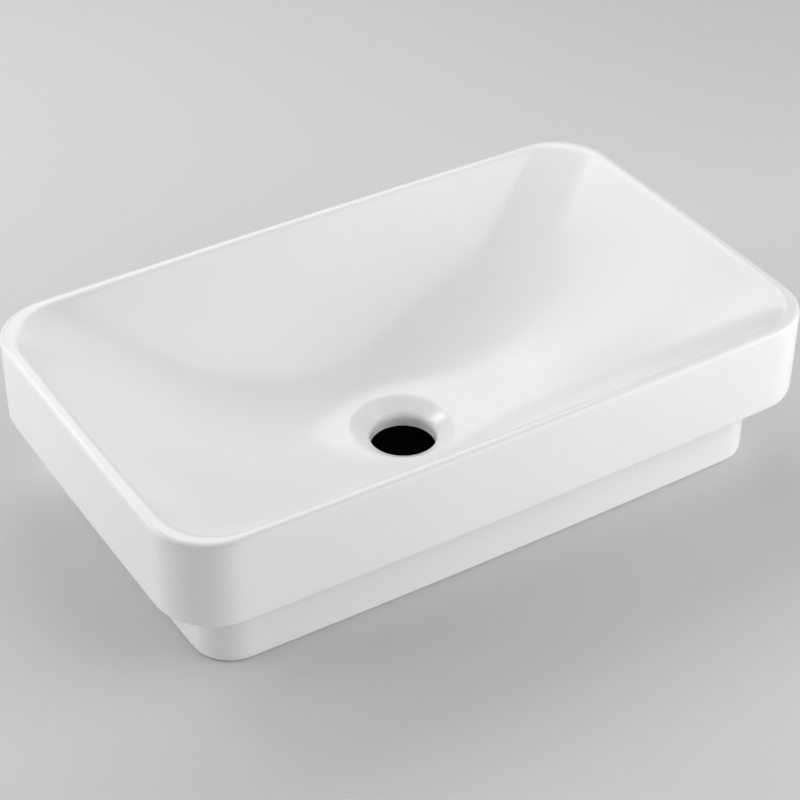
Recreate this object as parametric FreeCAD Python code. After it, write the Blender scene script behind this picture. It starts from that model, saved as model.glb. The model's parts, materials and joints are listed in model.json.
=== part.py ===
import FreeCAD
import Part
import math
import os

# A semi recessed wash basin: one casting of glazed sanitary china, 500 x 303 x 122 mm.
# A wide upper block stands on the worktop by a flat ledge, and a narrower lower block
# drops into the cut-out. The underside is open, as a cast basin's is, and a soft strip
# under the ledge seals it to the worktop.
#
# Frame: origin under the middle of the drain on the plane of the foot, +X along the
# basin's length, +Y to its back, +Z up. All sizes are in millimetres.

# ---- driving dimensions ------------------------------------------------------------

# outside
overall_length = 500.0
overall_width = 303.0
overall_height = 122.0
ledge_height = 55.0
corner_radius = 42.0          # upper block, seen from above
long_side_bow = 2.7           # how far a long side swells out at its middle
short_side_bow = 1.3
rim_side_round = 4.4          # the rim's outer edge is rounded more at its corners
rim_corner_round = 7.0
ledge_side_round = 4.2        # and so is the ledge's
ledge_corner_round = 7.0

# lower block
end_ledge_width = 27.3        # ledge at the short ends
side_ledge_width = 22.1       # ledge along the long sides
lower_corner_radius = 29.0
foot_edge_round = 3.0
ledge_root_round = 2.5        # hollow corner where the ledge meets the lower block

# bowl
rim_width = 8.0
rim_inner_round = 6.0
bowl_corner_radius = 40.0     # at the rim, which is therefore wider at its corners
bowl_floor_height = 27.2
bowl_floor_radius = 40.0      # flat round floor about the drain
bowl_curve_power = 1.7        # 1 is a straight slope, more is a flatter floor and steeper walls
floor_corner_share = 0.85     # corner radius as a share of half the width, near the floor
floor_bow_share = 0.70        # bow of a side as a share of its reach from the middle, there
bowl_levels = (0.93, 0.84, 0.72, 0.58, 0.43, 0.28, 0.13)   # outlines below the top one

# drain
drain_radius = 23.5
drain_lip_radius = 27.0       # where the slope of the flange's recess turns into the hole
drain_lip_height = 21.2
drain_lip_round = 6.0
recess_radius = 36.5          # edge of that recess, before its round
recess_edge_round = 8.0
drain_underside_height = 9.0
drain_boss_radius = 40.0
drain_boss_root_radius = 44.0
drain_boss_round = 3.0

# walls of the casting
wall = 10.0
belly_shift = 8.0             # the bowl's underside is its top side moved out and down
hollow_top = 106.0
hollow_bevel = 4.0
foot_inner_bevel = 1.5

# seal under the ledge
seal_inset = 7.5              # from the edge of the upper block
seal_width = 10.0
seal_thickness = 2.5

clearance = 5.0               # how far a cutting shape runs past what it cuts
slack = 1.0                   # how far past an edge's ends the search for it reaches
flatness = 1e-4               # how level an edge has to be to count as level

UP = FreeCAD.Vector(0, 0, 1)
ORIGIN = FreeCAD.Vector(0, 0, 0)

half_length = overall_length / 2
half_width = overall_width / 2
bowl_half_length = half_length - rim_width
bowl_half_width = half_width - rim_width
bowl_depth = overall_height - bowl_floor_height


# ---- outlines ----------------------------------------------------------------------

def point(x, y, z):
    return FreeCAD.Vector(x, y, z)


def side_arc(reach, span, bow):
    """Centre distance and radius of the arc of one side. The arc's crown is at reach
    from the origin, and it falls back by bow at a distance of span to either side."""
    radius = (span ** 2 + bow ** 2) / (2 * bow)
    return reach - radius, radius


def corner_centre(end_centre, end_radius, side_centre, side_radius, corner):
    """Centre of the corner circle that touches the end arc and the side arc inside."""
    from_end = end_radius - corner
    from_side = side_radius - corner
    gap = math.hypot(end_centre, side_centre)
    along = (from_end ** 2 - from_side ** 2 + gap ** 2) / (2 * gap)
    across = math.sqrt(from_end ** 2 - along ** 2)
    step_x = -end_centre / gap
    step_y = side_centre / gap
    return end_centre + along * step_x - across * step_y, along * step_y + across * step_x


def ring_of_arcs(stops, z):
    """Closed wire of arcs. Each arc runs from one even stop to the next, through the odd
    one between them."""
    corners = [point(x, y, z) for x, y in stops]
    corners.append(corners[0])
    return Part.Wire([Part.Arc(*corners[i:i + 3]).toShape() for i in range(0, len(stops), 2)])


def outline(length, width, corner, short_bow, long_bow, z, corner_arcs=1):
    """Closed outline of a rectangle with bowed sides and round corners, all tangent.
    length and width are half sizes, measured to the crowns of the sides."""
    end_centre, end_radius = side_arc(length, width, short_bow)
    side_centre, side_radius = side_arc(width, length, long_bow)
    cx, cy = corner_centre(end_centre, end_radius, side_centre, side_radius, corner)
    end_turn = math.atan2(cy, cx - end_centre)
    side_turn = math.atan2(cy - side_centre, cx)
    bend = []
    for step in range(2 * corner_arcs + 1):
        turn = end_turn + (side_turn - end_turn) * step / (2 * corner_arcs)
        bend.append((cx + corner * math.cos(turn), cy + corner * math.sin(turn)))
    half = [(length, 0)] + bend + [(0, width)] + [(-x, y) for x, y in reversed(bend)]
    stops = half + [(-x, -y) for x, y in half]
    return ring_of_arcs(stops[-1:] + stops[:-1], z)


def inset_outline(length_inset, width_inset, corner, z, corner_arcs=1):
    """The upper block's outline, moved in."""
    return outline(half_length - length_inset, half_width - width_inset, corner,
                   short_side_bow, long_side_bow, z, corner_arcs)


def prism(wire, height):
    return Part.Face(wire).extrude(UP * height)


def edges_at(shape, height):
    """Edges that lie in the level plane at this height."""
    return [edge for edge in shape.Edges
            if max(abs(edge.BoundBox.ZMin - height), abs(edge.BoundBox.ZMax - height)) < flatness]


def within(edges, reach):
    """Those of the edges whose ends lie within reach of the middle, measured along X."""
    return [edge for edge in edges if all(abs(vertex.X) < reach for vertex in edge.Vertexes)]


# ---- the casting -------------------------------------------------------------------

def upper_block():
    """The wide block. Its edges are rounded by one radius along the sides, which grows to
    another at the middle of each corner."""
    block = prism(inset_outline(0, 0, corner_radius, ledge_height, corner_arcs=2),
                  overall_height - ledge_height)

    def round_at(vertex, side_round, corner_round):
        on_corner = math.hypot(half_length - abs(vertex.X), half_width - abs(vertex.Y)) < corner_radius / 2
        return corner_round if on_corner else side_round

    rounds = []
    for number, edge in enumerate(block.Edges, 1):
        for height, side_round, corner_round in ((overall_height, rim_side_round, rim_corner_round),
                                                 (ledge_height, ledge_side_round, ledge_corner_round)):
            if edges_at(edge, height):
                start = round_at(edge.firstVertex(), side_round, corner_round)
                stop = round_at(edge.lastVertex(), side_round, corner_round)
                rounds.append((number, start, stop))

    bench = FreeCAD.newDocument("bench")
    sharp = bench.addObject("Part::Feature", "sharp_block")
    sharp.Shape = block
    rounded = bench.addObject("Part::Fillet", "rounded_block")
    rounded.Base = sharp
    rounded.Edges = rounds
    bench.recompute()
    return rounded.Shape.copy()


def outer_blocks():
    """Upper block on a narrower lower block, with every outside edge rounded."""
    upper = upper_block()
    lower = prism(inset_outline(end_ledge_width, side_ledge_width, lower_corner_radius, 0),
                  ledge_height + wall)
    lower = lower.makeFillet(foot_edge_round, edges_at(lower, 0))
    blocks = upper.fuse(lower)
    root = within(edges_at(blocks, ledge_height), half_length - end_ledge_width + slack)
    return blocks.makeFillet(ledge_root_round, root)


def bowl_outline(level, growth, drop):
    """Level outline of the bowl. level falls from 1 at the rim to 0 at the round floor,
    while the outline turns from the rim's rectangle into an oval."""
    softness = 1 - level
    length = bowl_floor_radius + (bowl_half_length - bowl_floor_radius) * level
    width = bowl_floor_radius + (bowl_half_width - bowl_floor_radius) * level
    rim_corner_share = bowl_corner_radius / bowl_half_width
    corner = width * (rim_corner_share + (floor_corner_share - rim_corner_share) * softness)
    short_bow = short_side_bow * level + floor_bow_share * length * softness
    long_bow = long_side_bow * level + floor_bow_share * width * softness
    height = bowl_floor_height + bowl_depth * level ** bowl_curve_power
    return outline(length + growth, width + growth, corner + growth, short_bow, long_bow,
                   height - drop)


def floor_circle(growth, drop):
    """The edge of the round floor, in as many arcs as the outlines above it."""
    radius = bowl_floor_radius + growth
    turns = [0, 30, 45, 60, 90, 120, 135, 150, 180, 210, 225, 240, 270, 300, 315, 330]
    return ring_of_arcs([(radius * math.cos(math.radians(turn)), radius * math.sin(math.radians(turn)))
                         for turn in turns[-1:] + turns[:-1]], bowl_floor_height - drop)


def bowl_form(top, growth=0.0, drop=0.0):
    """The bowl's hollow as a solid up to a height, lofted through its level outlines."""
    top_level = ((top + drop - bowl_floor_height) / bowl_depth) ** (1 / bowl_curve_power)
    sections = [bowl_outline(level, growth, drop) for level in (top_level,) + bowl_levels]
    sections.append(floor_circle(growth, drop))
    return Part.makeLoft(sections, True, False)


def turned(stops, rounds=None):
    """Solid of revolution about the drain's axis. stops are the (radius, height) corners
    of a closed profile, and rounds gives the radius for some of those corners."""
    rounds = rounds or {}
    count = len(stops)
    starts, ends, arcs = {}, {}, {}
    for i, (x, z) in enumerate(stops):
        corner = point(x, 0, z)
        starts[i] = ends[i] = corner
        if i not in rounds:
            continue
        before = point(stops[i - 1][0], 0, stops[i - 1][1]) - corner
        after = point(stops[(i + 1) % count][0], 0, stops[(i + 1) % count][1]) - corner
        before.normalize()
        after.normalize()
        half_angle = before.getAngle(after) / 2
        run = rounds[i] / math.tan(half_angle)
        ends[i] = corner + before * run
        starts[i] = corner + after * run
        towards = before + after
        towards.normalize()
        crown = corner + towards * (rounds[i] / math.sin(half_angle) - rounds[i])
        arcs[i] = Part.Arc(ends[i], crown, starts[i]).toShape()
    edges = []
    for i in range(count):
        if i in arcs:
            edges.append(arcs[i])
        edges.append(Part.LineSegment(starts[i], ends[(i + 1) % count]).toShape())
    return Part.Face(Part.Wire(edges)).revolve(ORIGIN, UP, 360)


def drain_hollow():
    """The recess that the waste's flange lies in, and the hole below it."""
    slope = (bowl_floor_height - drain_lip_height) / (recess_radius - drain_lip_radius)
    hole_top = drain_lip_height - slope * (drain_lip_radius - drain_radius)
    return turned([
        (0, drain_underside_height - clearance),
        (drain_radius, drain_underside_height - clearance),
        (drain_radius, hole_top),
        (recess_radius, bowl_floor_height),
        (bowl_floor_radius, bowl_floor_height),
        (bowl_floor_radius, bowl_floor_height + clearance),
        (0, bowl_floor_height + clearance),
    ], {2: drain_lip_round, 3: recess_edge_round})


def drain_boss():
    """Thickened seat under the drain, flat below for the waste's back nut."""
    root = bowl_floor_height - belly_shift
    outside = bowl_floor_radius + belly_shift
    return turned([
        (0, drain_underside_height),
        (drain_boss_radius, drain_underside_height),
        (drain_boss_root_radius, root),
        (outside, root),
        (outside, root + clearance),
        (0, root + clearance),
    ], {1: drain_boss_round})


def underside_hollow():
    """The space between the outer walls and the belly of the bowl, open at the foot."""
    low = prism(inset_outline(end_ledge_width + wall, side_ledge_width + wall,
                              lower_corner_radius - wall, -clearance),
                ledge_height + wall + clearance)
    high = prism(inset_outline(wall, wall, corner_radius - wall, ledge_height + wall),
                 hollow_top - ledge_height - wall)
    space = low.fuse(high)
    space = space.makeChamfer(hollow_bevel, edges_at(space, ledge_height + wall))
    belly = bowl_form(hollow_top + clearance, belly_shift, belly_shift)
    return space.cut(belly).cut(drain_boss())


def basin_body():
    body = outer_blocks().cut(bowl_form(overall_height))
    rim = within(edges_at(body, overall_height), bowl_half_length + slack)
    body = body.makeFillet(rim_inner_round, rim)
    body = body.cut(drain_hollow()).cut(underside_hollow())
    foot = within(edges_at(body, 0), half_length - end_ledge_width - foot_edge_round - slack)
    return body.makeChamfer(foot_inner_bevel, foot)


# ---- the seal ----------------------------------------------------------------------

def ledge_seal():
    """Closed ring of soft strip under the ledge, set in from its edge."""
    low = ledge_height - seal_thickness
    far = seal_inset + seal_width
    ring = prism(inset_outline(seal_inset, seal_inset, corner_radius - seal_inset, low), seal_thickness)
    return ring.cut(prism(inset_outline(far, far, corner_radius - far, low), seal_thickness))


if __name__ == "__main__":
    os.makedirs("parts", exist_ok=True)
    for name, piece in (("basin_body", basin_body()), ("ledge_seal", ledge_seal())):
        box = piece.optimalBoundingBox(False, False)
        print(name, "closed:", piece.isValid() and piece.isClosed(), "solids:", len(piece.Solids),
              "volume cm3: %.1f" % (piece.Volume / 1000), "faces:", len(piece.Faces),
              "size: %.1f x %.1f x %.1f" % (box.XLength, box.YLength, box.ZLength))
        piece.exportStep("parts/" + name + ".step")
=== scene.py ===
# %% [markdown]
# # A semi recessed wash basin
#
# The real thing is one casting of sanitary china. Liquid clay is poured into a plaster
# mould, and the shell is dried, sprayed with glaze and fired. A strip of foam lies under
# its ledge. This file dresses that basin, cell by cell. Everything is in metres, in the
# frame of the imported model: the drain's axis is the Z axis and the foot stands on zero.

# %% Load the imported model
import json
import math

import bmesh
import bpy
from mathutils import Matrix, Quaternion, Vector


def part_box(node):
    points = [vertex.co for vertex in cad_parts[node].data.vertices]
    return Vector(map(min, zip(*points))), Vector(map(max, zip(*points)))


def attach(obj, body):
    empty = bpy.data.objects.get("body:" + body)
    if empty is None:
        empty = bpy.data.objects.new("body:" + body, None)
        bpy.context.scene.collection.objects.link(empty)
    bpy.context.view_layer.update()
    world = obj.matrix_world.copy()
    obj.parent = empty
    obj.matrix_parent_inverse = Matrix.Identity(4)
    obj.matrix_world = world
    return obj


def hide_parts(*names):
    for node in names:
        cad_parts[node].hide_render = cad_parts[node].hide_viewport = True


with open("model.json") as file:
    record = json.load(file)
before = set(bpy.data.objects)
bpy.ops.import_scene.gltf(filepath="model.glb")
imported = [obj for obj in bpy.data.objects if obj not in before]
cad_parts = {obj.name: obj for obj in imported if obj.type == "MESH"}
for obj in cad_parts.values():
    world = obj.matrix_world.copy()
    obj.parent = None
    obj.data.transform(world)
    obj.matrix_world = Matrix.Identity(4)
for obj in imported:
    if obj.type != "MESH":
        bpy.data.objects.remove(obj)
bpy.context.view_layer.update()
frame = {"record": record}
body_low, body_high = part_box("basin_body")
seal_low, seal_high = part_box("ledge_seal")
mounts = {mount["name"]: mount for mount in frame["record"]["mounts"]}
print("casting, in metres:", [round(value, 4) for value in body_high - body_low])

# %% [markdown]
# ## Sizes
#
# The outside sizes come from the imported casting, and those of the waste hole and of the
# nut's seat under it from its mounts. The other sizes are the drawing's own. They could be
# typed in as metres, but a potter's drawing is in millimetres, so they stay as it gives
# them, and one factor turns them into metres when a vertex is placed.

# %% Driving dimensions, in millimetres
MM = 0.001

half_length = body_high.x / MM
half_width = body_high.y / MM
height = body_high.z / MM
ledge_height = seal_high.z / MM
drain_radius = mounts["drain_hole"]["dims"]["r_mm"]
boss_height = mounts["back_nut_seat"]["pos_m"][2] / MM

corner_radius = 42.0
long_bow = 2.7                # how far a long side swells out at its middle
short_bow = 1.3               # and a short side
end_ledge = 27.3              # width of the ledge at the short ends
side_ledge = 22.1             # and along the long sides
lower_corner = 29.0           # corner radius of the block below the ledge
wall = 10.0                   # thickness of the casting's walls
print("half sizes", round(half_length, 2), round(half_width, 2), "height", round(height, 2))

# %% [markdown]
# ## The camera
#
# The photograph was taken from the left and above with a long lens, so parallel edges
# hardly converge. A camera could be dragged into place by eye, but then nobody could say
# where it stands. So it is placed by its azimuth and elevation around a point in the
# middle of the basin, at the distance that gives the same convergence. A small roll
# levels the picture as the photograph is levelled. Depth of field stays off.

# %% Place the camera
camera_azimuth = math.radians(-32.16)
camera_elevation = math.radians(36.87)
camera_roll = math.radians(0.367)
camera_distance = 1.5045
camera_lens = 96.11
sensor_width = 36.0
camera_aim = Vector((-0.0045, -0.0026, 0.0536))

towards_camera = Vector((
    math.sin(camera_azimuth) * math.cos(camera_elevation),
    -math.cos(camera_azimuth) * math.cos(camera_elevation),
    math.sin(camera_elevation),
))
facing_basin = towards_camera.to_track_quat("Z", "Y")
camera_data = bpy.data.cameras.new("camera")
camera_data.sensor_width = sensor_width
camera_data.lens = camera_lens
camera = bpy.data.objects.new("camera", camera_data)
bpy.context.scene.collection.objects.link(camera)
camera.rotation_mode = "QUATERNION"
camera.location = camera_aim + towards_camera * camera_distance
camera.rotation_quaternion = facing_basin @ Quaternion((0, 0, 1), camera_roll)
bpy.context.scene.camera = camera
print("camera at", [round(value, 3) for value in camera.location])

# %% [markdown]
# ## Outlines
#
# Seen from above, every level of this basin is a rectangle with bowed sides and round
# corners, drawn with eight arcs that touch without a kink. A box with bevelled corners
# could not give the bows. So one function works out the eight arcs and walks round them.
# Each outline has the same number of points in the same order, which lets the outline of
# the rim turn into the round drain without a single triangle.

# %% Walk round an outline
END_POINTS = 16
CORNER_POINTS = 12
SIDE_POINTS = 28


def walk(arcs):
    """Points of one half of an outline, then of the other half, which is the same half
    turned round. Each point has the direction that it faces. Each arc is (centre x,
    centre y, radius, start, stop, number of points)."""
    half = []
    for x, y, radius, start, stop, count in arcs:
        for step in range(count):
            turn = start + (stop - start) * step / count
            half.append((x + radius * math.cos(turn), y + radius * math.sin(turn), turn))
    return half + [(-x, -y, turn + math.pi) for x, y, turn in half]


def rectangle(length, width, corner, end_bow, side_bow):
    """Outline of a bowed rectangle. length and width are half sizes. The corner's centre
    is where two circles cross, an end's and a side's, each made smaller by the corner's
    radius, because there the corner's arc touches both."""
    end_radius = (width ** 2 + end_bow ** 2) / (2 * end_bow)
    side_radius = (length ** 2 + side_bow ** 2) / (2 * side_bow)
    end_centre = length - end_radius
    side_centre = width - side_radius
    gap = math.hypot(end_centre, side_centre)
    along = ((end_radius - corner) ** 2 - (side_radius - corner) ** 2 + gap ** 2) / (2 * gap)
    across = math.sqrt((end_radius - corner) ** 2 - along ** 2)
    corner_x = end_centre - (along * end_centre + across * side_centre) / gap
    corner_y = (along * side_centre - across * end_centre) / gap
    end_turn = math.atan2(corner_y, corner_x - end_centre)
    side_turn = math.atan2(corner_y - side_centre, corner_x)
    return walk([
        (end_centre, 0, end_radius, -end_turn, end_turn, END_POINTS),
        (corner_x, corner_y, corner, end_turn, side_turn, CORNER_POINTS),
        (0, side_centre, side_radius, side_turn, math.pi - side_turn, SIDE_POINTS),
        (-corner_x, corner_y, corner, math.pi - side_turn, math.pi - end_turn, CORNER_POINTS),
    ])


# %% The wall's outline, and a round one


def inset(end_inset, side_inset, corner):
    """The outer wall's outline, moved in."""
    return rectangle(
        half_length - end_inset, half_width - side_inset, corner, short_bow, long_bow)


def circle(radius):
    """A round outline, with its points where the rectangle's points come down to it."""
    turns = [math.radians(turn) for turn in (-30, 30, 60, 120, 150)]
    counts = (END_POINTS, CORNER_POINTS, SIDE_POINTS, CORNER_POINTS)
    return walk([(0, 0, radius, turns[i], turns[i + 1], counts[i]) for i in range(4)])


outline_points = len(circle(1))
print("points in each outline:", outline_points)

# %% [markdown]
# ## Outlines of the bowl
#
# The bowl is the shape that makes the basin. It starts at the rim as a wide bowed
# rectangle and ends at the drain as a small flat circle, and halfway it is an oval. It
# could be sculpted, but its glaze mirrors every lump. So its outline is a formula of one
# number, the level, and so is its height, which falls fast at the rim and slowly below.

# %% The bowl's outline and height at each level
rim_width = 8.0
bowl_corner_radius = 40.0     # at the rim
bowl_floor = 27.2             # height of the flat round floor
floor_radius = 40.0
bowl_power = 1.7              # how the height falls from the rim to the floor
floor_corner_share = 0.85     # corner radius by the floor, as a share of the half width
floor_bow_share = 0.70        # bows by the floor, as a share of the half sizes

bowl_depth = height - bowl_floor
bowl_half_length = half_length - rim_width
bowl_half_width = half_width - rim_width


def bowl(level, growth=0.0):
    """Outline of the bowl, from level 1 at the rim to level 0 at the round floor."""
    soft = 1 - level
    length = floor_radius + (bowl_half_length - floor_radius) * level
    width = floor_radius + (bowl_half_width - floor_radius) * level
    rim_share = bowl_corner_radius / bowl_half_width
    corner = width * (rim_share + (floor_corner_share - rim_share) * soft)
    return rectangle(
        length + growth, width + growth, corner + growth,
        short_bow * level + floor_bow_share * length * soft,
        long_bow * level + floor_bow_share * width * soft,
    )


def bowl_height(level):
    return bowl_floor + bowl_depth * level ** bowl_power


print("bowl is", round(bowl_depth, 1), "mm deep, at level 0.5 it is", round(bowl_height(0.5), 1),
      "mm above the foot")

# %% [markdown]
# ## Rings of the casting
#
# A basin with a hole in it is a ring, like a doughnut: its skin runs over the rim, down
# the outside, under the foot, up inside, along the belly, up through the waste hole and
# back across the bowl to the rim. It could be cut from a block with booleans, which leaves
# long thin faces that show in the gloss. So the casting is written as a list of rings in
# that order. Each has its points, and the radius to which its edge is rounded and in how
# many steps. Each also names the finish of the skin that runs from it to the next ring.

# %% A ring
GLAZED, GROUND, SPRAYED = 0, 1, 2
NO_ROUNDING = (0.0, 1)


def ring(outline, level, rounding=NO_ROUNDING, finish=GLAZED):
    """An outline laid level at a height. rounding is (radius, steps)."""
    radius, steps = rounding
    return {
        "points": [Vector((x, y, level)) * MM for x, y, facing in outline],
        "rounding": radius * MM,
        "steps": steps,
        "finish": finish,
    }


def rings_at(outline, levels, finish=GLAZED):
    """The same outline at several heights of a wall."""
    return [ring(outline, level, finish=finish) for level in levels]


# %% [markdown]
# ## The wide block's outer edges
#
# The edge of the rim and the lower edge of the wide block are rubbed down on the damp
# clay, a little more at the corners than along the sides. A bevel has one width all the
# way round, so these two roundings are rings of their own, whose points move in and down
# by a radius that grows towards the middle of each corner.

# %% Roundings that grow at the corners
ROUND_STEPS = 5
rim_side_round = 3.4          # the rim's edge along the sides
rim_corner_round = 3.8        # and at the middle of each corner
ledge_side_round = 3.6        # the same for the wide block's lower edge
ledge_corner_round = 4.6
DOWN, UP = -1, 1              # which way the wall runs on from the edge


def corner_share(index):
    """0 at an outline's points along a side, rising to 1 at the middle of a corner."""
    place = index % (outline_points // 2)
    for first in (END_POINTS, END_POINTS + CORNER_POINTS + SIDE_POINTS):
        if 0 <= place - first <= CORNER_POINTS:
            return math.sin(math.pi * (place - first) / CORNER_POINTS) ** 2
    return 0.0


def soft_edge_ring(edge_height, way, side_round, corner_round, step):
    """A ring on an edge's rounding. step goes from 0 on the level face to ROUND_STEPS on
    the wall."""
    lean = math.pi / 2 * step / ROUND_STEPS
    outline = inset(0, 0, corner_radius)
    made = ring(outline, edge_height)
    for index, (x, y, facing) in enumerate(outline):
        radius = side_round + (corner_round - side_round) * corner_share(index)
        back = radius * (1 - math.sin(lean))
        level = edge_height + way * radius * (1 - math.cos(lean))
        made["points"][index] = Vector((
            x - back * math.cos(facing), y - back * math.sin(facing), level)) * MM
    return made


# %% Rings over the rim and down the upper block
rim_inner_round = (2.9, 4)    # where the rim turns down into the bowl
upper_wall_levels = (106, 88, 70)

rings = [ring(bowl(1.0), height, rim_inner_round)]
for step in range(ROUND_STEPS + 1):
    rings.append(soft_edge_ring(height, DOWN, rim_side_round, rim_corner_round, step))
rings += rings_at(inset(0, 0, corner_radius), upper_wall_levels)
for step in range(ROUND_STEPS, -1, -1):
    rings.append(soft_edge_ring(ledge_height, UP, ledge_side_round, ledge_corner_round, step))
print("rings down to the ledge:", len(rings))

# %% [markdown]
# ## The lower block
#
# Under the ledge the casting narrows to the block that sinks into the worktop. It stands
# on a foot that is left bare and ground flat. The ledge and the walls are straight in
# section, so two rings would do for each. The others are there for the subdivision later:
# beside an edge they keep it from softening further, and on a wall they keep faces square.

# %% Rings under the ledge and down the lower block
edge_margin = 10.0            # from the wide block's edge to the first ring on the ledge
root_margin = 6.0             # from the lower block to the last one
ledge_root_round = (2.5, 3)   # the inner corner under the ledge
lower_wall_levels = (48, 27, 7)
foot_round = (3.0, 4)

lower_outline = inset(end_ledge, side_ledge, lower_corner)
rings += [
    ring(inset(edge_margin, edge_margin, corner_radius - edge_margin), ledge_height),
    ring(inset(end_ledge - root_margin, side_ledge - root_margin, lower_corner + root_margin),
         ledge_height),
    ring(lower_outline, ledge_height, ledge_root_round),
]
rings += rings_at(lower_outline, lower_wall_levels)
rings.append(ring(lower_outline, 0, foot_round, GROUND))
print("rings down to the foot:", len(rings))

# %% [markdown]
# ## The hollow underside
#
# The mould's core leaves the basin hollow below: walls go up inside the lower block, turn
# out over the ledge and go up again inside the upper block. A Solidify modifier could
# thicken an outer skin, but it would crowd the faces in this step, so the inside gets
# rings of its own, a wall's thickness from the outer ones.

# %% Rings up inside
foot_inner_round = (1.5, 2)
hollow_levels = (6, 30, 55)
shelf_inner_round = (4.0, 3)  # where the lower wall turns out over the ledge
shelf_outer_round = (3.0, 3)  # where it turns up again
upper_hollow_levels = (75, 88)

hollow_outline = inset(end_ledge + wall, side_ledge + wall, lower_corner - wall)
upper_hollow_outline = inset(wall, wall, corner_radius - wall)
hollow_shelf = ledge_height + wall
rings.append(ring(hollow_outline, 0, foot_inner_round, SPRAYED))
rings += rings_at(hollow_outline, hollow_levels, SPRAYED)
rings.append(ring(hollow_outline, hollow_shelf, shelf_inner_round, SPRAYED))
rings.append(ring(upper_hollow_outline, hollow_shelf, shelf_outer_round, SPRAYED))
rings += rings_at(upper_hollow_outline, upper_hollow_levels, SPRAYED)
print("rings up to the roof of the hollow:", len(rings))

# %% [markdown]
# ## The belly and the boss
#
# The underside of the bowl follows the bowl at the thickness of the casting, because a
# slip-cast wall grows evenly on the plaster. So its rings are the bowl's own, moved out
# and down. Under the drain it is thickened to a flat boss for the back nut. The roof of
# the hollow, between the wall and the belly, is a tight valley with one ring of its own.

# %% Rings along the belly and the boss
valley_height = 95
valley_end, valley_side = 3, 2  # how far the valley's ring lies inside the wall
belly_shift = 8.0             # how far the belly lies out from the bowl, and below it
belly_levels = [0.87, 0.80, 0.72, 0.64, 0.56, 0.48, 0.40, 0.32, 0.24, 0.16, 0.08]
boss_radius = 40.0
boss_root_radius = 44.0
boss_root_round = (2.0, 3)
boss_round = (3.0, 3)
seat_margin = 4.0             # from the hole to the ring round it on the nut's seat

valley_outline = inset(
    wall + valley_end, wall + valley_side, corner_radius - wall - valley_side)
rings.append(ring(valley_outline, valley_height, finish=SPRAYED))
for level in belly_levels:
    rings.append(ring(
        bowl(level, belly_shift), bowl_height(level) - belly_shift, finish=SPRAYED))
rings += [
    ring(circle(boss_root_radius), bowl_floor - belly_shift, boss_root_round, SPRAYED),
    ring(circle(boss_radius), boss_height, boss_round, GROUND),
    ring(circle(drain_radius + seat_margin), boss_height, finish=GROUND),
]
print("rings along to the boss:", len(rings))

# %% [markdown]
# ## The waste hole and its recess
#
# The hole's wall goes straight up, turns over a round lip and rises a little across a
# shallow recess, in which the waste's flange sits. The lip could be an arc of many rings,
# but a bevel on one ring draws the same arc, so one corner point is enough.

# %% Rings through the hole and across the recess
lip_radius = 27.0             # a point on the recess's slope, near the hole
lip_height = 21.2
recess_radius = 36.5
hole_edge_round = (0.4, 2)    # the hole's lower edge
hole_margin = 3.0             # from that edge to the next ring
lip_round = (3.4, 5)
recess_round = (3.0, 3)
floor_step, floor_rise = 1, 0.05  # to the bowl's first ring, just past its flat floor

recess_slope = (bowl_floor - lip_height) / (recess_radius - lip_radius)
lip_corner = lip_height - recess_slope * (lip_radius - drain_radius)
rings += [
    ring(circle(drain_radius), boss_height, hole_edge_round),
    ring(circle(drain_radius), boss_height + hole_margin),
    ring(circle(drain_radius), lip_corner, lip_round),
    ring(circle(recess_radius), bowl_floor, recess_round),
    ring(circle(floor_radius + floor_step), bowl_floor + floor_rise),
]
print("hole", 2 * drain_radius, "mm across, its straight wall",
      round(lip_corner - boss_height, 1), "mm high before the lip is rounded")

# %% [markdown]
# ## The bowl
#
# The bowl's rings go up in equal levels. They are close together, because the glaze
# mirrors every step that is left in it. The last one stops short of the rim, whose ring
# starts the list.

# %% Rings up the bowl
BOWL_STEPS = 15
for step in range(1, BOWL_STEPS):
    rings.append(ring(bowl(step / BOWL_STEPS), bowl_height(step / BOWL_STEPS)))
print("rings in all:", len(rings))

# %% [markdown]
# ## From rings to a mesh
#
# The mesh starts as one circle of vertices, laid on the first ring. Its edges are extruded
# once for each ring, and the new vertices move to that ring's points. Bridging each pair
# of rings would work too, but it has to guess which vertices belong together. An extruded
# vertex keeps the number of the vertex that it came from, so nothing is guessed. Only the
# last ring is bridged to the first, which closes the doughnut.

# %% Extrude from ring to ring


def lay(verts, number, points):
    for vert in verts:
        vert.co = points[vert[number]]


def edges_between(verts):
    """Edges whose two ends are both among the vertices. A plain set would give them in
    another order at each run."""
    chosen = set(verts)
    touching = dict.fromkeys(edge for vert in verts for edge in vert.link_edges)
    return [edge for edge in touching if chosen.issuperset(edge.verts)]


def extrude_rings(mesh, rows):
    """A closed skin through the rings. Gives the edges that lie on each."""
    number = mesh.verts.layers.int.new("place_in_ring")
    verts = bmesh.ops.create_circle(
        mesh, segments=outline_points, radius=1, cap_ends=False)["verts"]
    for index, vert in enumerate(verts):
        vert[number] = index
    lay(verts, number, rows[0]["points"])
    edges = [edges_between(verts)]
    for before, row in zip(rows, rows[1:]):
        made = bmesh.ops.extrude_edge_only(mesh, edges=edges[-1])["geom"]
        verts = [item for item in made if isinstance(item, bmesh.types.BMVert)]
        lay(verts, number, row["points"])
        for vert in verts:
            for face in vert.link_faces:
                face.material_index = before["finish"]
        edges.append(edges_between(verts))
    bmesh.ops.bridge_loops(mesh, edges=edges[-1] + edges[0])
    return edges


# %% [markdown]
# ## Rounding the casting's other edges
#
# On the real basin every other edge is rounded too: by the mould, by a damp sponge, or by
# the glaze that runs into the corners. More rings could draw those arcs, but bevel does
# it from the edge alone. It makes quads on a loop of edges, so the skin stays all quads.

# %% Build the casting


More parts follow.
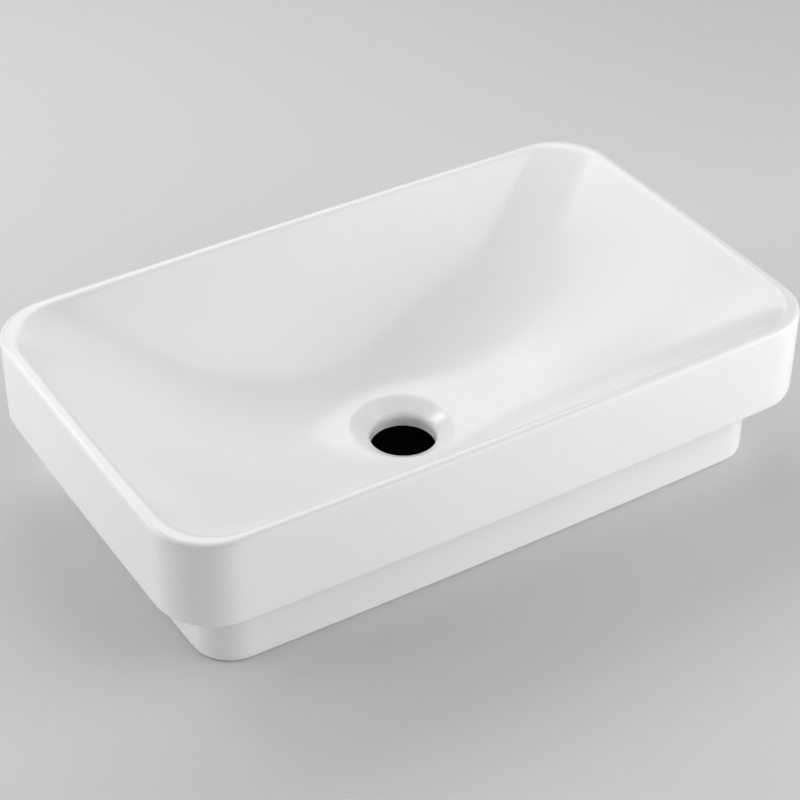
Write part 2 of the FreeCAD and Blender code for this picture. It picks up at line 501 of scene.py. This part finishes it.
def build_casting():
    mesh = bmesh.new()
    for row, edges in zip(rings, extrude_rings(mesh, rings)):
        if row["rounding"]:
            bmesh.ops.bevel(
                mesh, geom=edges, offset=row["rounding"], offset_type="OFFSET",
                segments=row["steps"], profile=0.5, affect="EDGES", material=-1,
                loop_slide=True, clamp_overlap=False)
    bmesh.ops.recalc_face_normals(mesh, faces=mesh.faces)
    return mesh


casting_mesh = build_casting()
print("faces:", len(casting_mesh.faces),
      "not quads:", sum(len(face.verts) != 4 for face in casting_mesh.faces),
      "open edges:", sum(len(edge.link_faces) != 2 for edge in casting_mesh.edges),
      "volume in litres: %.3f" % (casting_mesh.calc_volume() * 1000))

# %% [markdown]
# ## Colours and nodes
#
# Colours are picked as sRGB hex values, as a paint chart gives them, and Blender's shaders
# work in linear light, so one function converts them with the sRGB standard's own curve.
# One more function adds a node with its settings and links, which keeps each material
# short enough to read in one go.

# %% Colour and node helpers


def colour(hex_value):
    channels = [int(hex_value[i:i + 2], 16) / 255 for i in (0, 2, 4)]
    linear = [c / 12.92 if c <= 0.04045 else ((c + 0.055) / 1.055) ** 2.4 for c in channels]
    return linear + [1.0]


def socket(sockets, name):
    return next(item for item in sockets if name in (item.identifier, item.name))


def link_into(tree, node, links):
    for name, source in links.items():
        tree.links.new(source, socket(node.inputs, name))


def add_node(tree, kind, settings, links):
    """Adds a node, sets its properties and socket values, and links sockets into it."""
    node = tree.nodes.new(kind)
    for name, value in settings.items():
        if hasattr(node, name):
            setattr(node, name, value)
        else:
            socket(node.inputs, name).default_value = value
    link_into(tree, node, links)
    return node


def new_material(name):
    """A material, its node tree and its Principled shader."""
    material = bpy.data.materials.new(name)
    material.use_nodes = True
    print("material:", name)
    return material, material.node_tree, material.node_tree.nodes["Principled BSDF"]


# %% [markdown]
# ## Glazed sanitary china
#
# White opaque glaze, fired on to the casting at about 1200 degrees. It is glass, so its
# IOR is about 1.5. It could be a plain glossy white, but that looks like plastic. Real
# glaze runs a little as it melts, which leaves a slow waviness about 25 mm long and a fine
# orange peel about 2 mm long, and its white drifts slightly with its thickness. Clear
# glaze is nearly a mirror. This one is a soft gloss, because the photograph's reflections
# have soft edges.

# %% Glaze material
glaze_white_patch = 90 * MM   # how far it is between whiter places
glaze_gloss_patch = 30 * MM   # and between glossier ones
glaze_roughness = (0.18, 0.24)
wave_length, wave_height = 25 * MM, 0.05 * MM
peel_length, peel_height = 2 * MM, 0.003 * MM


def glazed_china():
    material, tree, shader = new_material("glazed_sanitary_china")
    place = {"Vector": add_node(tree, "ShaderNodeTexCoord", {}, {}).outputs["Object"]}
    drift = add_node(
        tree, "ShaderNodeTexNoise", {"Scale": 1 / glaze_white_patch, "Detail": 2.0}, place)
    white = add_node(
        tree, "ShaderNodeMix",
        {"data_type": "RGBA", "A_Color": colour("f3f3f2"), "B_Color": colour("efeff0")},
        {"Factor_Float": drift.outputs["Fac"]})
    gloss = add_node(
        tree, "ShaderNodeTexNoise", {"Scale": 1 / glaze_gloss_patch, "Detail": 3.0}, place)
    roughness = add_node(
        tree, "ShaderNodeMapRange",
        {"To Min": glaze_roughness[0], "To Max": glaze_roughness[1]},
        {"Value": gloss.outputs["Fac"]})
    waves = add_node(
        tree, "ShaderNodeTexNoise", {"Scale": 1 / wave_length, "Detail": 0.0}, place)
    peel = add_node(
        tree, "ShaderNodeTexNoise", {"Scale": 1 / peel_length, "Detail": 1.0}, place)
    slow = add_node(
        tree, "ShaderNodeBump", {"Strength": 1.0, "Distance": wave_height},
        {"Height": waves.outputs["Fac"]})
    fine = add_node(
        tree, "ShaderNodeBump", {"Strength": 1.0, "Distance": peel_height},
        {"Height": peel.outputs["Fac"], "Normal": slow.outputs["Normal"]})
    link_into(tree, shader, {
        "Base Color": socket(white.outputs, "Result_Color"),
        "Roughness": roughness.outputs["Result"],
        "Normal": fine.outputs["Normal"],
    })
    shader.inputs["IOR"].default_value = 1.5
    return material


# %% [markdown]
# ## Bare china
#
# Where the casting stood in the kiln it can't be glazed, or it would stick to the shelf.
# The foot is wiped clean and ground flat afterwards, and so is the boss that the back nut
# pulls on. Fired china is off-white and matt there, with fine grinding marks and grit. One
# noise gives both the tint and the relief: the specks that it darkens are the ones that it
# raises.

# %% Ground china material
grit_size = 1.5 * MM          # real grit is about 0.2 mm, too fine to show, so it is coarser
grit_depth = 0.08 * MM


def ground_china():
    material, tree, shader = new_material("ground_bare_china")
    place = {"Vector": add_node(tree, "ShaderNodeTexCoord", {}, {}).outputs["Object"]}
    grit = add_node(
        tree, "ShaderNodeTexNoise", {"Scale": 1 / grit_size, "Detail": 4.0}, place)
    body = add_node(
        tree, "ShaderNodeMix",
        {"data_type": "RGBA", "A_Color": colour("e6e1d8"), "B_Color": colour("d3cdc2")},
        {"Factor_Float": grit.outputs["Fac"]})
    marks = add_node(
        tree, "ShaderNodeBump", {"Strength": 0.6, "Distance": grit_depth},
        {"Height": grit.outputs["Fac"]})
    link_into(tree, shader, {
        "Base Color": socket(body.outputs, "Result_Color"),
        "Normal": marks.outputs["Normal"],
    })
    shader.inputs["Roughness"].default_value = 0.75
    return material


# %% [markdown]
# ## The sprayed underside
#
# Nobody sees the hollow underside, so it only catches a thin, dry coat of glaze. It is
# whiter than bare china, but satin rather than glossy, and slightly pebbled. The glaze
# material could do for it, but a thin coat is patchy, so one noise drives both its tint
# and its gloss.

# %% Underside material
spray_patch = 50 * MM
spray_roughness = (0.4, 0.65)
pebble_size = 3 * MM          # dried droplets are about 1 mm, drawn coarser so that they show
pebble_height = 0.1 * MM


def sprayed_china():
    material, tree, shader = new_material("thinly_sprayed_china")
    place = {"Vector": add_node(tree, "ShaderNodeTexCoord", {}, {}).outputs["Object"]}
    patches = add_node(
        tree, "ShaderNodeTexNoise", {"Scale": 1 / spray_patch, "Detail": 5.0}, place)
    coat = add_node(
        tree, "ShaderNodeMix",
        {"data_type": "RGBA", "A_Color": colour("ebe8e2"), "B_Color": colour("ddd8ce")},
        {"Factor_Float": patches.outputs["Fac"]})
    gloss = add_node(
        tree, "ShaderNodeMapRange",
        {"To Min": spray_roughness[0], "To Max": spray_roughness[1]},
        {"Value": patches.outputs["Fac"]})
    pebble = add_node(
        tree, "ShaderNodeTexNoise", {"Scale": 1 / pebble_size, "Detail": 2.0}, place)
    bump = add_node(
        tree, "ShaderNodeBump", {"Strength": 0.5, "Distance": pebble_height},
        {"Height": pebble.outputs["Fac"]})
    link_into(tree, shader, {
        "Base Color": socket(coat.outputs, "Result_Color"),
        "Roughness": gloss.outputs["Result"],
        "Normal": bump.outputs["Normal"],
    })
    return material


# %% [markdown]
# ## The finished casting
#
# The faces are shaded smooth and subdivided once. Rings twice as close would do the same,
# but the modifier does it for every edge at once and leaves the list of rings short. The
# casting takes the place of the CAD's solid of the same shape and rides on its body.

# %% Finish the casting


def make_object(mesh, name, materials):
    """Turns a bmesh into an object at the origin."""
    data = bpy.data.meshes.new(name)
    mesh.to_mesh(data)
    mesh.free()
    for material in materials:
        data.materials.append(material)
    made = bpy.data.objects.new(name, data)
    bpy.context.scene.collection.objects.link(made)
    return made


def finish_piece(mesh, name, materials):
    """A smooth piece of the basin, on its one body."""
    piece = make_object(mesh, name, materials)
    for polygon in piece.data.polygons:
        polygon.use_smooth = True
    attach(piece, "root")
    return piece


casting = finish_piece(
    casting_mesh, "china_basin", [glazed_china(), ground_china(), sprayed_china()])
subdivision = casting.modifiers.new("subdivision", "SUBSURF")
subdivision.levels = subdivision.render_levels = 1
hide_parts("basin_body")
print("casting has", len(casting.data.polygons), "faces, each four when subdivided")

# %% [markdown]
# ## The seal
#
# A strip of closed-cell foam, 10 mm wide, is laid round under the ledge and squeezed by
# the basin's weight, so its lower edges are full and round. A curve with a flat bevel
# could follow the outline, but its ends would have to be joined. The strip is a closed
# ring as the casting is, so the same function extrudes its four corners.

# %% Model the seal
seal_inset = half_length - seal_high.x / MM
seal_width = 10.0
seal_bottom = seal_low.z / MM
seal_round = 1.0
SEAL_ROUND_STEPS = 4


def build_seal():
    mesh = bmesh.new()
    far = seal_inset + seal_width
    outer = inset(seal_inset, seal_inset, corner_radius - seal_inset)
    inner = inset(far, far, corner_radius - far)
    edges = extrude_rings(mesh, [
        ring(outer, ledge_height), ring(outer, seal_bottom),
        ring(inner, seal_bottom), ring(inner, ledge_height),
    ])
    bmesh.ops.bevel(
        mesh, geom=edges[1] + edges[2], offset=seal_round * MM, offset_type="OFFSET",
        segments=SEAL_ROUND_STEPS, profile=0.5, affect="EDGES", material=-1)
    bmesh.ops.recalc_face_normals(mesh, faces=mesh.faces)
    return mesh


# %% [markdown]
# ## Closed-cell foam
#
# Dark foam rubber, blown and then cut into strip. Its skin is matt, and dimpled by the
# cells that the knife opened. A plain noise would look like dust on it, while a Voronoi
# pattern has the round cells of the real foam. The same pattern makes each cell's pit
# darker than the ridges round it, which is painted shade.

# %% Foam material
cell_size = 0.8 * MM          # real cells are about 0.3 mm, drawn coarser so that they show
cell_depth = 0.2 * MM


def closed_cell_foam():
    material, tree, shader = new_material("closed_cell_foam_rubber")
    place = {"Vector": add_node(tree, "ShaderNodeTexCoord", {}, {}).outputs["Object"]}
    cells = add_node(tree, "ShaderNodeTexVoronoi", {"Scale": 1 / cell_size}, place)
    # Painted shade: darker in each cell's pit, where the bump is lowest, lighter on the ridges.
    tone = add_node(
        tree, "ShaderNodeMix",
        {"data_type": "RGBA", "A_Color": colour("2f2f31"), "B_Color": colour("3c3c3e")},
        {"Factor_Float": cells.outputs["Distance"]})
    bump = add_node(
        tree, "ShaderNodeBump", {"Strength": 0.6, "Distance": cell_depth},
        {"Height": cells.outputs["Distance"]})
    link_into(tree, shader, {
        "Base Color": socket(tone.outputs, "Result_Color"),
        "Normal": bump.outputs["Normal"],
    })
    shader.inputs["Roughness"].default_value = 0.85
    return material


seal = finish_piece(build_seal(), "foam_seal", [closed_cell_foam()])
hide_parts("ledge_seal")
print("seal has", len(seal.data.polygons), "faces")

# %% [markdown]
# ## The floor
#
# White china shows its form only by soft steps of grey, and a part of them is the light
# that a pale matt floor throws back up. Against a white floor the basin itself would be
# lost. So the paper is white where it only throws light on, and greyer where a camera, a
# reflection or a view through glass sees it.

# %% Floor
FLOOR_HALF_SIZE = 6.0         # metres


def build_floor():
    mesh = bmesh.new()
    bmesh.ops.create_grid(mesh, x_segments=1, y_segments=1, size=FLOOR_HALF_SIZE)
    return mesh


def matt_paper():
    material, tree, shader = new_material("matt_paper")
    ray = add_node(tree, "ShaderNodeLightPath", {}, {})
    seen = add_node(
        tree, "ShaderNodeMath", {"operation": "MAXIMUM"},
        {"Value": ray.outputs["Is Camera Ray"], "Value_001": ray.outputs["Is Glossy Ray"]})
    shown = add_node(
        tree, "ShaderNodeMath", {"operation": "MAXIMUM"},
        {"Value": seen.outputs["Value"], "Value_001": ray.outputs["Is Transmission Ray"]})
    tone = add_node(
        tree, "ShaderNodeMix",
        {"data_type": "RGBA", "A_Color": colour("f2f2f2"), "B_Color": colour("d4d4d4")},
        {"Factor_Float": shown.outputs["Value"]})
    link_into(tree, shader, {"Base Color": socket(tone.outputs, "Result_Color")})
    shader.inputs["Roughness"].default_value = 0.9
    return material


floor = make_object(build_floor(), "floor", [matt_paper()])
print("floor is", 2 * FLOOR_HALF_SIZE, "metres square")

# %% [markdown]
# ## Painted shade under the drain
#
# On a real bench the drain opens into the dark of the cabinet below. Here the basin stands
# on a pale floor, which would shine back up through the hole. So a black disc lies on the
# floor under the hole as painted shade, in place of the cabinet's dark. The casting hides
# it from every side. A darker floor would do it too, but then the whole basin would lose
# its light from below.

# %% Painted shade: a black disc under the hole
SHADE_DISC_RADIUS = 75.0            # millimetres, as is the lift
SHADE_DISC_LIFT = 0.3               # clear of the floor, so that the two don't flicker
SHADE_DISC_SEGMENTS = 48


def build_painted_shade_disc():
    mesh = bmesh.new()
    bmesh.ops.create_circle(
        mesh, segments=SHADE_DISC_SEGMENTS, radius=SHADE_DISC_RADIUS * MM, cap_ends=True)
    bmesh.ops.translate(mesh, verts=mesh.verts, vec=(0, 0, SHADE_DISC_LIFT * MM))
    return mesh


def painted_shade_black():
    material, tree, shader = new_material("painted_shade_black")
    # Painted shade: black, fully matt and without reflection, in place of the dark below the
    # drain.
    shader.inputs["Base Color"].default_value = colour("080808")
    shader.inputs["Roughness"].default_value = 1.0
    shader.inputs["Specular IOR Level"].default_value = 0.0
    return material


painted_shade_disc = make_object(build_painted_shade_disc(), "painted_shade_disc", [painted_shade_black()])
print("felt is", 2 * SHADE_DISC_RADIUS, "mm across")

# %% [markdown]
# ## Light
#
# The light is a studio's: large soft boxes round the basin, none of them beside the
# camera, and a faint even fill. One sky of light could show the shape, but it would leave
# the glaze with nothing to mirror, and each box gives one wall of the bowl its own shade of
# grey. Seen from the photograph's side they light the china to about its own white, and
# hardly any of it clips. The Standard view transform shows each colour as it is written.

# %% World and soft boxes
FILL_STRENGTH = 0.1
BOX_DISTANCE = 1.5            # metres from the point at which the boxes aim
BOX_AIM = Vector((0, 0, 0.05))
# name, azimuth and elevation in degrees, width and depth in metres, power in watts
SOFT_BOXES = [
    ("right_box", 140, 35, 1.4, 1.4, 12.6),
    ("low_right_box", 115, 20, 1.2, 1.2, 4.4),
    ("low_front_box", 150, 8, 1.4, 0.4, 3.5),
    ("left_box", -60, 30, 1.2, 1.2, 9.7),
    ("low_left_box", -60, 12, 1.2, 0.5, 3.6),
    ("back_box", -10, 48, 0.6, 0.6, 2.3),
    ("back_right_box", 25, 45, 0.8, 0.8, 4.6),
    ("back_left_box", -28, 39, 0.4, 0.25, 2.4),
]


def soft_box(name, azimuth, elevation, width, depth, power):
    """An area light that faces the basin. Azimuth 0 is behind it, 90 at its right."""
    turn, rise = math.radians(azimuth), math.radians(elevation)
    direction = Vector((
        math.sin(turn) * math.cos(rise), math.cos(turn) * math.cos(rise), math.sin(rise)))
    data = bpy.data.lights.new(name, "AREA")
    data.shape = "RECTANGLE"
    data.size = width
    data.size_y = depth
    data.energy = power
    lamp = bpy.data.objects.new(name, data)
    bpy.context.scene.collection.objects.link(lamp)
    lamp.location = direction * BOX_DISTANCE + BOX_AIM
    lamp.rotation_euler = direction.to_track_quat("Z", "Y").to_euler()


bpy.context.scene.view_settings.view_transform = "Standard"
world = bpy.data.worlds.new("studio")
bpy.context.scene.world = world
world.use_nodes = True
background = world.node_tree.nodes["Background"]
background.inputs["Color"].default_value = (1, 1, 1, 1)
background.inputs["Strength"].default_value = FILL_STRENGTH
for box in SOFT_BOXES:
    soft_box(*box)
print("soft boxes:", len(SOFT_BOXES), "with", round(sum(box[-1] for box in SOFT_BOXES), 1), "W")
